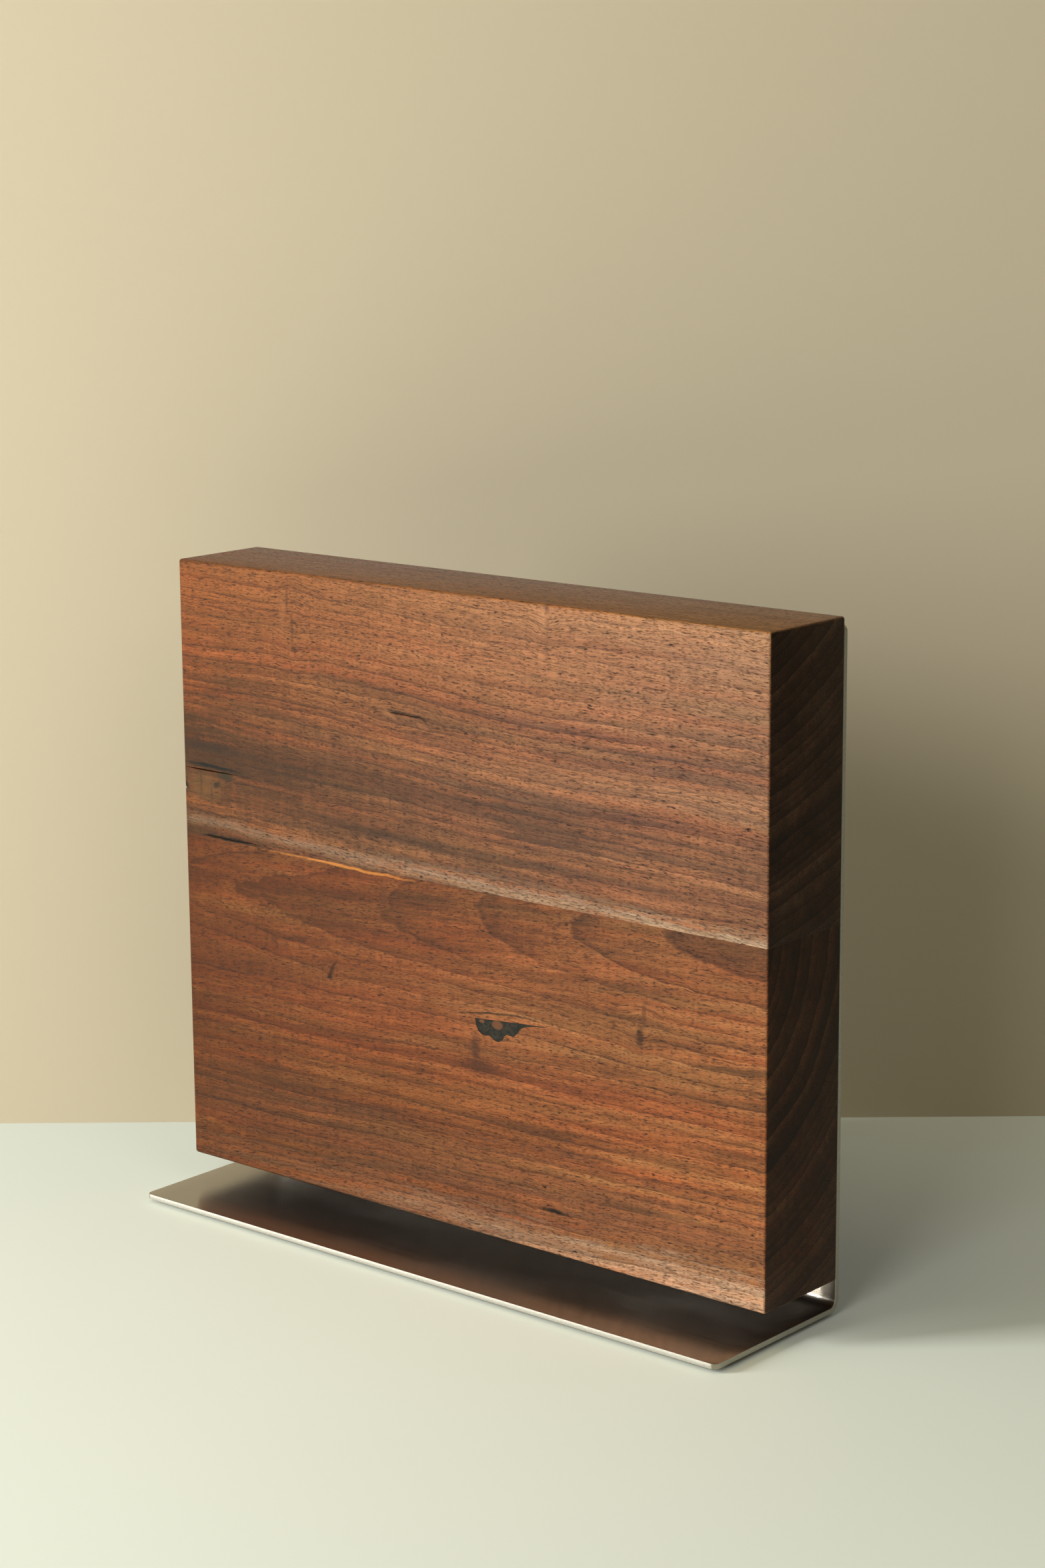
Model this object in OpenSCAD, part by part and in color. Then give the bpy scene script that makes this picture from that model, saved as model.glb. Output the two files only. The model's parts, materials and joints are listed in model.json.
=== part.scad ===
// Free-standing magnetic knife block: a block edge-glued from two walnut planks, with a row of
// magnets bored into each plank from behind, screwed to the upright leg of a bent stainless sheet.
// Millimetres. +Z is up, the knife face looks along -Y, and the origin is the bottom centre.

/* [Block] */
// Width of the block, left to right
block_w = 300; // [290:5:400]
// Thickness of the block, front to back
block_d = 46; // [40:1:60]
// Height of the upper plank
upper_plank_h = 115.5; // [110:0.5:150]
// Height of the lower plank
lower_plank_h = 139.5; // [135:0.5:170]
// Width of the easing cut along the block's outer edges
edge_ease = 1; // [0.5:0.1:2]

/* [Stand] */
// Thickness of the bent sheet
sheet_t = 2; // [1.5:0.5:3]
// Inside radius of the bend
bend_r = 3; // [2:0.5:5]
// Reach of the foot ahead of the knife face
foot_reach = 29.5; // [25:0.5:50]
// Open height between the foot and the block
block_gap = 10.5; // [8:0.5:20]
// Drop of the leg's top edge below the top of the block
leg_drop = 3; // [2:0.5:10]
// Distance of the sheet's sides inside the ends of the block
side_inset = 0.5; // [0:0.1:2]
// Radius of the four free corners of the sheet
sheet_corner_r = 3; // [1:0.5:5]

/* [Foot pads] */
// Radius of a pad
pad_r = 7; // [5:0.5:8]
// Thickness of a pad
pad_t = 1.8; // [1:0.1:3]
// Distance of a pad's centre from the nearest edges of the foot
pad_inset = 10.5; // [9:0.5:14]

/* [Magnets] */
// Magnets in each row
magnets_per_row = 6; // [2:1:6]
// Distance between neighbouring magnets
magnet_pitch = 48; // [40:1:50]
// Radius of a magnet
magnet_r = 12.5; // [8:0.5:13]
// Thickness of a magnet
magnet_t = 5; // [3:0.5:8]
// Wood left between a magnet and the knife face
face_skin = 3; // [2:0.5:4]
// Height of the lower row above the bottom of the block
lower_row_h = 52; // [48:1:58]

/* [Joinery] */
// Dowels across the glued joint
dowel_count = 4; // [2:1:4]
// Distance between neighbouring dowels
dowel_pitch = 80; // [60:1:85]
// Radius of a dowel
dowel_r = 4; // [3:0.5:5]
// Length of a dowel
dowel_l = 40; // [30:1:44]

/* [Fasteners] */
// Screws in each row
screws_per_row = 3; // [2:1:3]
// Distance between neighbouring screws
screw_pitch = 96; // [80:1:120]
// Distance of a screw row from the top or bottom of the block
screw_edge = 20; // [16:0.5:22]
// Radius of a screw's shank
screw_r = 2.45; // [1.9:0.05:2.45]
// Radius of a screw's head
head_r = 4.75; // [4:0.05:5]
// Height of a screw's head
head_h = 2.75; // [2:0.05:3]
// Outside radius of a threaded insert
insert_r = 4.5; // [4:0.1:5]
// Length of a threaded insert
insert_l = 12; // [10:1:16]

/* [Knot] */
// Distance of the filled knot to the right of the middle
knot_x = 21; // [15:1:30]
// Height of the filled knot's straight upper edge above the bottom of the block
knot_h = 89.5; // [86:0.5:96]
// Depth of the filled knot
knot_depth = 3; // [2:0.5:4]

/* [Hidden] */
$fn = 96;
eps = 0.01;               // overlap that keeps neighbouring cuts clean
glue_gap = 0.1;           // radial room for glue around magnets, plugs, dowels and inserts
thread_r = 2.5;           // bore of an insert
leg_hole_r = 2.75;        // clearance hole in the leg
insert_bore_l = insert_l + 3;
insert_groove = 0.5;      // depth and width of the grooves that key an insert in the wood
socket_r = 1.75;          // hexagon socket, across its corners
socket_depth = 1.6;
crown_r = 2.3;            // flat crown of a screw's head
screw_l = sheet_t + insert_l;
plug_recess = 0.5;        // plugs end just below the back of the planks
dowel_end_room = 1;       // room for glue beyond each dowel's ends
pad_ease = 0.3;
knot_tilt = 4;            // slope of the knot's straight upper edge, in degrees
knot_glue_gap = 0.02;

block_h = lower_plank_h + upper_plank_h;
stand_w = block_w - 2 * side_inset;
bend_outer_r = bend_r + sheet_t;
total_d = foot_reach + block_d + sheet_t + head_h;
foot_y = -total_d / 2;                    // front edge of the foot
face_y = foot_y + foot_reach;             // knife face
back_y = face_y + block_d;                // back of the planks, where the leg starts
leg_back_y = back_y + sheet_t;
foot_top_z = pad_t + sheet_t;
block_z = foot_top_z + block_gap;         // bottom of the block
joint_z = block_z + lower_plank_h;        // glued joint
top_z = block_z + block_h;
leg_top_z = top_z - leg_drop;
lower_row_z = block_z + lower_row_h;
upper_row_z = joint_z + upper_plank_h / 2;
lower_screw_z = block_z + screw_edge;
upper_screw_z = top_z - screw_edge;
pad_x = stand_w / 2 - pad_inset;
front_pad_y = foot_y + pad_inset;
rear_pad_y = leg_back_y - bend_outer_r - pad_r;

function row_x(count, pitch) = [for (i = [0:count - 1]) (i - (count - 1) / 2) * pitch];
magnet_xs = row_x(magnets_per_row, magnet_pitch);
screw_xs = row_x(screws_per_row, screw_pitch);
dowel_xs = row_x(dowel_count, dowel_pitch);

function numbered(name, count) = [for (i = [1:count]) str(name, i)];

// A rod whose near end is at y, running towards the back
module rod_y(r, l, y) {
    translate([0, y, 0]) rotate([-90, 0, 0]) cylinder(r = r, h = l);
}

// A rectangle with its corners cut off at 45 degrees; low and high say how much at each end of v
module eased_rect(w, h, low, high) {
    polygon([
        [low, 0], [w - low, 0], [w, low], [w, h - high],
        [w - high, h], [high, h], [0, h - high], [0, low]
    ]);
}

// A plank with eased outer edges: low and high are the easing of its bottom and top edges
module eased_plank(h, low, high) {
    intersection() {
        translate([-block_w / 2, 0, 0]) rotate([90, 0, 90])
            linear_extrude(block_w) eased_rect(block_d, h, low, high);
        translate([-block_w / 2, block_d, 0]) rotate([90, 0, 0])
            linear_extrude(block_d) eased_rect(block_w, h, low, high);
        translate([-block_w / 2, 0, 0])
            linear_extrude(h) eased_rect(block_w, block_d, edge_ease, edge_ease);
    }
}

// Bores for a row of magnets and their plugs, open at the back
module magnet_bores(z) {
    for (x = magnet_xs) translate([x, 0, z])
        rod_y(magnet_r + glue_gap, block_d, face_y + face_skin);
}

module insert_bores(z) {
    for (x = screw_xs) translate([x, 0, z])
        rod_y(insert_r + glue_gap, insert_bore_l + eps, back_y - insert_bore_l);
}

module dowel_bores() {
    half = dowel_l / 2 + dowel_end_room;
    for (x = dowel_xs) translate([x, face_y + block_d / 2, joint_z - half])
        cylinder(r = dowel_r + glue_gap, h = 2 * half);
}

// Outline of the bark pocket in the knife face: lobes that hang from a straight split
module knot_outline(grow = 0) {
    split_l = 40;
    lobe_h = 12;
    rotate(knot_tilt) intersection() {
        union() {
            translate([-7.6, -3]) circle(r = 4.2 + grow);
            translate([-2.2, -4.6]) circle(r = 4 + grow);
            translate([6.4, -1.9]) circle(r = 3.8 + grow);
            polygon([[-6, grow], [-2, -5], [10.5, -2 - grow], [26 + grow, grow]]);
        }
        translate([-split_l / 2, -lobe_h]) square([2 * split_l, lobe_h + grow]);
    }
}

module knot_solid(depth, grow = 0) {
    translate([knot_x, face_y + depth, block_z + knot_h]) rotate([90, 0, 0])
        linear_extrude(depth) knot_outline(grow);
}

module upper_plank() {
    color([0.45, 0.29, 0.2]) difference() {
        translate([0, face_y, joint_z]) eased_plank(upper_plank_h, 0, edge_ease);
        magnet_bores(upper_row_z);
        insert_bores(upper_screw_z);
        dowel_bores();
    }
}

module lower_plank() {
    color([0.5, 0.28, 0.16]) difference() {
        translate([0, face_y, block_z]) eased_plank(lower_plank_h, edge_ease, 0);
        magnet_bores(lower_row_z);
        insert_bores(lower_screw_z);
        dowel_bores();
        translate([0, -eps, 0]) knot_solid(knot_depth + eps, knot_glue_gap);
    }
}

module knot_filler() {
    color([0.07, 0.07, 0.06]) knot_solid(knot_depth);
}

// Rounds off the corner at the origin of a sheet that fills the first quadrant
module corner_cut(r, t) {
    translate([0, 0, -eps]) difference() {
        translate([-r, -r, 0]) cube([2 * r, 2 * r, t + 2 * eps]);
        translate([r, r, -eps]) cylinder(r = r, h = t + 4 * eps);
    }
}

// Side view of the stand: y to the right, z up
module stand_profile() {
    bend_y = back_y - bend_r;
    bend_z = foot_top_z + bend_r;
    translate([foot_y, pad_t]) square([bend_y - foot_y, sheet_t]);
    translate([back_y, bend_z]) square([sheet_t, leg_top_z - bend_z]);
    intersection() {
        difference() {
            translate([bend_y, bend_z]) circle(r = bend_outer_r);
            translate([bend_y, bend_z]) circle(r = bend_r);
        }
        translate([bend_y, bend_z - bend_outer_r]) square(bend_outer_r);
    }
}

module stand() {
    color([0.75, 0.74, 0.71]) difference() {
        translate([-stand_w / 2, 0, 0]) rotate([90, 0, 90]) linear_extrude(stand_w) stand_profile();
        for (side = [0, 1]) mirror([side, 0, 0]) {
            translate([-stand_w / 2, foot_y, pad_t]) corner_cut(sheet_corner_r, sheet_t);
            translate([-stand_w / 2, back_y, leg_top_z]) rotate([-90, 0, 0])
                corner_cut(sheet_corner_r, sheet_t);
        }
        for (z = [lower_screw_z, upper_screw_z], x = screw_xs) translate([x, 0, z])
            rod_y(leg_hole_r, sheet_t + 2 * eps, back_y - eps);
    }
}

// A round pad with an eased lower edge
module pad(x, y) {
    color([0.16, 0.17, 0.18]) translate([x, y, 0]) rotate_extrude()
        polygon([[0, 0], [pad_r - pad_ease, 0], [pad_r, pad_ease], [pad_r, pad_t], [0, pad_t]]);
}

module joint_dowels() {
    color([0.8, 0.66, 0.46]) for (x = dowel_xs)
        translate([x, face_y + block_d / 2, joint_z - dowel_l / 2]) cylinder(r = dowel_r, h = dowel_l);
}

module magnet(x, z) {
    color([0.62, 0.63, 0.65]) translate([x, 0, z]) rod_y(magnet_r, magnet_t, face_y + face_skin);
}

// The wooden plug that closes a bore behind its magnet
module plug(x, z) {
    plug_y = face_y + face_skin + magnet_t;
    color([0.42, 0.27, 0.18]) translate([x, 0, z]) rod_y(magnet_r, back_y - plug_recess - plug_y, plug_y);
}

// A brass sleeve, bored for the screw and grooved around its outside
module threaded_insert() {
    groove_step = insert_l / 6;
    rotate([90, 0, 0]) difference() {
        cylinder(r = insert_r, h = insert_l);
        translate([0, 0, -eps]) cylinder(r = thread_r, h = insert_l + 2 * eps);
        for (i = [1:5]) translate([0, 0, i * groove_step]) rotate_extrude()
            translate([insert_r - insert_groove, 0]) square([insert_groove + 1, insert_groove]);
    }
}

module threaded_inserts() {
    color([0.78, 0.62, 0.3]) for (z = [lower_screw_z, upper_screw_z], x = screw_xs)
        translate([x, back_y, z]) threaded_insert();
}

// A button-head screw: the domed head stands behind the leg, the shank runs into the insert.
// The dome runs from the head's rim to a flat crown around the socket.
module stand_screw() {
    dome_drop = (head_r * head_r - crown_r * crown_r - head_h * head_h) / (2 * head_h);
    dome_r = sqrt(head_r * head_r + dome_drop * dome_drop);
    rotate([-90, 0, 0]) difference() {
        union() {
            translate([0, 0, -screw_l]) cylinder(r = screw_r, h = screw_l + eps);
            intersection() {
                cylinder(r = head_r, h = head_h);
                translate([0, 0, -dome_drop]) sphere(r = dome_r);
            }
        }
        translate([0, 0, head_h - socket_depth]) cylinder(r = socket_r, h = socket_depth + eps, $fn = 6);
    }
}

module stand_screws() {
    color([0.7, 0.7, 0.7]) for (z = [lower_screw_z, upper_screw_z], x = screw_xs)
        translate([x, leg_back_y, z]) stand_screw();
}

upper_plank();
lower_plank();
knot_filler();
stand();
pad(-pad_x, front_pad_y);  // front_left_pad
pad(pad_x, front_pad_y);  // front_right_pad
pad(-pad_x, rear_pad_y);  // rear_left_pad
pad(pad_x, rear_pad_y);  // rear_right_pad
joint_dowels();
threaded_inserts();
stand_screws();
for (i = [0:magnets_per_row - 1]) {
    magnet(magnet_xs[i], upper_row_z);
    magnet(magnet_xs[i], lower_row_z);
    plug(magnet_xs[i], upper_row_z);
    plug(magnet_xs[i], lower_row_z);
}
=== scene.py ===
"""Looks for the magnetic knife block: two walnut planks on a bent, brushed stainless stand."""

import json
import math

import bmesh
import bpy
from mathutils import Matrix, Vector

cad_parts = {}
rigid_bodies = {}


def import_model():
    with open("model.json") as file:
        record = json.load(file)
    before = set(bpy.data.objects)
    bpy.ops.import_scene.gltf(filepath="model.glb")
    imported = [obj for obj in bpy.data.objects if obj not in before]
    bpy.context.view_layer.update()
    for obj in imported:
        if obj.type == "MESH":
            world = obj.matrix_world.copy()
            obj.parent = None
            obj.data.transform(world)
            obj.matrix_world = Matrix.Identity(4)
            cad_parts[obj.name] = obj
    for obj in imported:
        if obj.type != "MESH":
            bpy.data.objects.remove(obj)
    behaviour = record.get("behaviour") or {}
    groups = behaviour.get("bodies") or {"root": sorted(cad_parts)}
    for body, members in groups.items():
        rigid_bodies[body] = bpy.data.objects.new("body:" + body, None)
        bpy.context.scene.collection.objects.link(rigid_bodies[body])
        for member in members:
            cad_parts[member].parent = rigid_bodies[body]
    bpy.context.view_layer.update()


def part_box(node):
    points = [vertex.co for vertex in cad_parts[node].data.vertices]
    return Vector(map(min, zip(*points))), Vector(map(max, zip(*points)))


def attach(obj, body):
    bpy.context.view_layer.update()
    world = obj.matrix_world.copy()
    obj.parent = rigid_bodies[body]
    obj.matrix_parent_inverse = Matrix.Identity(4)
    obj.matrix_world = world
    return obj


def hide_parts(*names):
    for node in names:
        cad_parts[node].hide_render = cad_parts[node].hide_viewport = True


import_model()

MM = 0.001
BODY = "root"
SHARP_ANGLE = math.radians(35)        # edges that turn more than this stay crisp in the shading
ROUND_SIDES = 64                      # facets round a pad, a bore or a hole


def nodes_named(prefix):
    """Names of the CAD nodes that start with prefix, in order."""
    return sorted(obj.name for obj in bpy.data.objects if obj.name.startswith(prefix))


def box(node):
    """Lowest and highest corners of a CAD node, in metres."""
    low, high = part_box(node)
    return Vector(low), Vector(high)


# Places and sizes, in metres, all read from the frame
UPPER_LOW, UPPER_HIGH = box("upper_plank")
LOWER_LOW, LOWER_HIGH = box("lower_plank")
STAND_LOW, STAND_HIGH = box("stand")
KNOT_LOW, KNOT_HIGH = box("knot_filler")
FACE_Y = LOWER_LOW.y
BACK_Y = LOWER_HIGH.y
LEFT_X = LOWER_LOW.x
RIGHT_X = LOWER_HIGH.x
BLOCK_Z = LOWER_LOW.z
JOINT_Z = UPPER_LOW.z
TOP_Z = UPPER_HIGH.z
SHEET = STAND_HIGH.y - BACK_Y


# ---------------------------------------------------------------- shader building

def linear(red, green, blue):
    """A colour given as 0-255 screen values, turned into linear light."""
    def channel(value):
        value /= 255
        return value / 12.92 if value <= 0.04045 else ((value + 0.055) / 1.055) ** 2.4
    return (channel(red), channel(green), channel(blue), 1.0)


class Shader:
    """A material's node tree, with one short call for each kind of node."""

    def __init__(self, name):
        self.material = bpy.data.materials.new(name)
        self.material.use_nodes = True
        self.tree = self.material.node_tree
        self.surface = self.tree.nodes["Principled BSDF"]

    def feed(self, socket, value):
        if isinstance(value, bpy.types.NodeSocket):
            self.tree.links.new(value, socket)
        else:
            socket.default_value = value

    def node(self, kind, values=(), **settings):
        node = self.tree.nodes.new(kind)
        for name, setting in settings.items():
            setattr(node, name, setting)
        for key, value in dict(values).items():
            self.feed(node.inputs[key], value)
        return node

    def math(self, operation, *values):
        node = self.node("ShaderNodeMath", enumerate(values), operation=operation)
        return node.outputs[0]

    def add(self, a, b):
        return self.math("ADD", a, b)

    def times(self, a, b):
        return self.math("MULTIPLY", a, b)

    def minus(self, a, b):
        return self.math("SUBTRACT", a, b)

    def square_sum(self, u, v):
        return self.add(self.times(u, u), self.times(v, v))

    def distance(self, u, v):
        """How far the point (u, v) lies from the origin."""
        return self.math("SQRT", self.square_sum(u, v))

    def vector(self, x, y, z):
        return self.node("ShaderNodeCombineXYZ", enumerate((x, y, z))).outputs[0]

    def axes(self, vector):
        return self.node("ShaderNodeSeparateXYZ", {0: vector}).outputs[:]

    def stretch(self, vector, scale):
        values = {0: vector, 1: scale}
        return self.node("ShaderNodeVectorMath", values, operation="MULTIPLY").outputs[0]

    def shift(self, vector, offset):
        values = {0: vector, 1: offset}
        return self.node("ShaderNodeVectorMath", values, operation="ADD").outputs[0]

    def millimetres(self):
        """The point being shaded, in the object's own frame."""
        here = self.node("ShaderNodeTexCoord").outputs["Object"]
        return self.stretch(here, (1 / MM,) * 3)

    def noise_node(self, vector, detail, rough, distortion):
        values = {"Vector": vector, "Scale": 1.0, "Detail": detail, "Roughness": rough,
                  "Distortion": distortion}
        return self.node("ShaderNodeTexNoise", values)

    def noise(self, vector, scale, detail=2.0, rough=0.5, distortion=0.0):
        """Noise from 0 to 1; scale is cycles per unit along each axis."""
        return self.noise_node(self.stretch(vector, scale), detail, rough, distortion).outputs[0]

    def wander(self, vector, scale, amount):
        """A small random offset along each axis; amount is its size along each axis."""
        colour = self.noise_node(self.stretch(vector, scale), 2.0, 0.5, 0.0).outputs[1]
        centred = self.shift(colour, (-0.5, -0.5, -0.5))
        return self.stretch(centred, tuple(2 * size for size in amount))

    def smooth(self, value, low, high, to_low=0.0, to_high=1.0):
        values = {0: value, 1: low, 2: high, 3: to_low, 4: to_high}
        return self.node("ShaderNodeMapRange", values, interpolation_type="SMOOTHSTEP").outputs[0]

    def scale(self, value, low, high, to_low=0.0, to_high=1.0):
        values = {0: value, 1: low, 2: high, 3: to_low, 4: to_high}
        return self.node("ShaderNodeMapRange", values).outputs[0]

    def mix(self, factor, a, b, blend="MIX"):
        node = self.node("ShaderNodeMix", data_type="RGBA", blend_type=blend)
        self.feed(node.inputs[0], factor)
        self.feed(node.inputs[6], a)
        self.feed(node.inputs[7], b)
        return node.outputs[2]

    def multiply(self, a, b):
        """One colour times another."""
        return self.mix(1.0, a, b, "MULTIPLY")

    def brighten(self, colour, level):
        """A colour times one number."""
        return self.multiply(colour, self.vector(level, level, level))

    def ramp(self, factor, stops):
        node = self.node("ShaderNodeValToRGB", {0: factor})
        elements = node.color_ramp.elements
        while len(elements) < len(stops):
            elements.new(0.5)
        for element, (place, colour) in zip(elements, stops):
            element.position = place
            element.color = colour
        return node.outputs[0]

    def bump(self, height, strength, distance):
        values = {"Height": height, "Strength": strength, "Distance": distance}
        return self.node("ShaderNodeBump", values).outputs[0]

    def finish(self, **inputs):
        """Feeds the surface; an input's spaces are written as underscores."""
        for name, value in inputs.items():
            self.feed(self.surface.inputs[name.replace("_", " ")], value)
        return self.material


# ---------------------------------------------------------------- walnut
#
# Lengths in this section are in millimetres, in the object's frame. Noise scales are cycles per mm.

END_OIL_AND_SHADE_TINT = (0.19, 0.20, 0.22, 1)      # end grain drinks more oil; it is darkened further as painted shade, for the end face that lies in shadow
TOP_LIGHT_TINT = (1.05, 0.88, 0.46, 1)      # painted light: the top is tinted yellower and less blue than the face, for how the light falls on it
UNDER_SHADE_TINT = (0.35, 0.35, 0.35, 1)    # painted shade: the underside is darkened, as it lies in shadow; it is also dull
BARK = linear(20, 20, 16)
PORE_STRENGTH = 0.64


def between_ends(s, x, left, right):
    """A value that runs from left, at the plank's left end, to right, at its right end."""
    return s.scale(x, LEFT_X / MM, RIGHT_X / MM, left, right)


def part_round_knots(s, x, z, knots):
    """The grain parts round a knot: heights near it are drawn towards its centre."""
    for knot_x, knot_z, half_w, half_h, pull in knots:
        u = s.math("DIVIDE", s.minus(x, knot_x), half_w)
        off = s.minus(z, knot_z)
        v = s.math("DIVIDE", off, half_h)
        near = s.math("EXPONENT", s.times(s.square_sum(u, v), -1.0))
        z = s.minus(z, s.times(off, s.times(near, pull)))
    return z


def ring_distance(s, x, y, z, tree):
    """Distance from the pith, which leans through the plank as it goes along the grain."""
    across = s.minus(y, s.add(tree["pith_y"], s.times(x, tree["lean_y"])))
    above = s.minus(z, s.add(tree["pith_z"], s.times(x, tree["lean_z"])))
    return s.distance(across, above)


def growth_rings(s, x, radius, tree):
    """Darkness of the yearly lines, the place within a year (0 to 1), and a chance value per year."""
    uneven_at = s.vector(s.times(x, 0.0018), s.times(radius, 0.045), tree["seed"])
    uneven = s.noise(uneven_at, (1, 1, 1), 2.0)
    year = s.add(s.math("DIVIDE", radius, tree["ring"]), s.times(uneven, 5.0))
    place = s.math("FRACT", year)
    number = s.math("FLOOR", year)
    chance = s.node("ShaderNodeTexWhiteNoise", {"W": number}, noise_dimensions="1D").outputs[0]
    fading_at = s.vector(s.times(x, 0.015), s.times(number, 7.3), 0.0)
    fading = s.noise(fading_at, (1, 1, 1), 2.0)

    # A line darkens slowly, then sharply, up to the year's end, and stops at once
    slow = s.times(s.math("POWER", place, 3.0), 0.25)
    sharp = s.times(s.math("POWER", place, 12.0), 0.75)
    line = s.times(s.add(slow, sharp), s.smooth(place, 1.0, 0.95))
    by_year = s.scale(chance, 0.0, 1.0, 0.45, 1.0)
    by_place = s.scale(fading, 0.35, 0.6, 0.45, 1.0)
    return s.times(line, s.times(by_year, by_place)), place, chance


def vessels(s, along, place, lines):
    """Open pores: short dark dashes along the grain, dots on the end grain; they crowd at the lines."""
    crowd = s.add(s.scale(place, 0.0, 1.0, 0.02, -0.02), s.times(lines, 0.10))
    long_dash = s.noise(along, (0.26, 1.9, 1.9), 1.0, 0.4)
    short_dash = s.noise(s.shift(along, (31.0, 7.0, 5.0)), (0.5, 2.2, 2.2), 1.0, 0.4)
    return s.add(s.smooth(s.add(long_dash, crowd), 0.58, 0.70, 0.0, 0.8),
                 s.smooth(s.add(short_dash, crowd), 0.54, 0.66, 0.0, 0.8))


def grain_streaks(s, along):
    """Streaks of several widths, all long along the grain, and two faint figures across it."""
    return {
        "broad": s.noise(along, (0.004, 0.05, 0.05), 3.0, 0.55),
        "middle": s.noise(along, (0.012, 0.30, 0.30), 4.0, 0.6),
        "fine": s.noise(along, (0.06, 1.5, 1.5), 4.0, 0.7),
        "warm": s.noise(s.shift(along, (90.0, 40.0, 20.0)), (0.008, 0.14, 0.14), 3.0, 0.6),
        "figure": s.noise(along, (0.20, 0.05, 0.035), 3.0, 0.6),
        "hatch": s.noise(along, (0.9, 0.3, 0.1), 2.0, 0.5),
    }


def ground_colour(s, streaks, place, chance, tree):
    """The wood before bands and lines: streaks and years pick from two palettes, one warmer."""
    tone = s.add(s.times(streaks["broad"], 0.5), s.times(streaks["middle"], 0.5))
    tone = s.add(tone, s.scale(chance, 0.0, 1.0, -0.04, 0.04))
    tone = s.add(tone, s.scale(place, 0.0, 1.0, 0.04, -0.05))
    return s.mix(s.scale(streaks["warm"], 0.35, 0.65),
                 s.ramp(tone, tree["palette"]), s.ramp(tone, tree["warm"]))


def lay_bands(s, colour, x, z, end, streaks, bands):
    """Coloured bands along the grain, with torn edges; they are weaker on the end grain."""
    torn = s.add(s.times(s.minus(streaks["middle"], 0.5), 2.4),
                 s.times(s.minus(streaks["figure"], 0.5), 0.45))
    fibre = s.scale(streaks["fine"], 0.3, 0.7, 0.7, 1.15)
    on_end = s.scale(end, 0.0, 1.0, 1.0, 0.2)
    for z_left, z_right, half_h, left, right, band_colour in bands:
        off = s.minus(z, between_ends(s, x, z_left, z_right))
        off = s.add(s.math("ABSOLUTE", s.math("DIVIDE", off, half_h)), torn)
        amount = s.times(s.times(between_ends(s, x, left, right), fibre), on_end)
        colour = s.mix(s.times(s.smooth(off, 1.0, 0.0), amount), colour, band_colour)
    return colour


def tint_and_light_by_place(s, colour, x, z, tree):
    """The plank's colour drifts along its length and up its height; the paler, brighter right end is partly
    painted light, offsetting the key's falloff to the right and standing in for the sheen there.
    """
    tint = s.mix(between_ends(s, x, 0.0, 1.0), tree["tint_left"], tree["tint_right"])
    tint = s.brighten(tint, s.scale(z, *tree["drift_z"], *tree["drift"]))
    return s.multiply(colour, tint)


def lay_fibres(s, colour, lines, pores, streaks, tree):
    """Growth lines, fibres, figure and pores darken or lighten what is there."""
    colour = s.mix(lines, colour, tree["line_colour"])
    level = s.times(s.scale(streaks["fine"], 0.25, 0.75, 0.66, 1.38),
                    s.scale(streaks["figure"], 0.3, 0.7, 0.92, 1.08))
    level = s.times(level, s.scale(streaks["hatch"], 0.3, 0.7, 0.93, 1.07))
    colour = s.brighten(colour, level)
    return s.mix(s.times(pores, PORE_STRENGTH), colour, tree["pore_colour"])


def lay_marks(s, colour, here, x, y, z, marks):
    """Bark, splits and pin knots, as ragged ellipses; they are a few millimetres deep."""
    in_face = s.smooth(y, FACE_Y / MM + 6.0, FACE_Y / MM + 1.0)
    ragged = s.times(s.noise(here, (0.30, 0.6, 1.1), 3.0, 0.65), 1.3)
    for mark_x, mark_z, half_w, half_h, slope, strength, mark_colour in marks:
        u = s.minus(x, mark_x)
        v = s.minus(s.minus(z, mark_z), s.times(u, slope))
        off = s.distance(s.math("DIVIDE", u, half_w), s.math("DIVIDE", v, half_h))
        inside = s.smooth(s.add(off, ragged), 1.85, 0.95)
        colour = s.mix(s.times(s.times(inside, strength), in_face), colour, mark_colour)
    return colour


def tone_and_shade_sides(s, colour, end, top, under, place, chance):
    """The end grain goes darker, in rings, and darker still as painted shade; the top gets a painted light
    tint and the underside painted shade.
    """
    ring_level = s.times(s.scale(place, 0.0, 1.0, 1.15, 0.9), s.scale(chance, 0.0, 1.0, 0.65, 1.4))
    end_colour = s.multiply(s.brighten(colour, ring_level), END_OIL_AND_SHADE_TINT)
    colour = s.mix(end, colour, end_colour)
    colour = s.mix(top, colour, s.multiply(colour, TOP_LIGHT_TINT))
    return s.mix(under, colour, s.multiply(colour, UNDER_SHADE_TINT))


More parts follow.
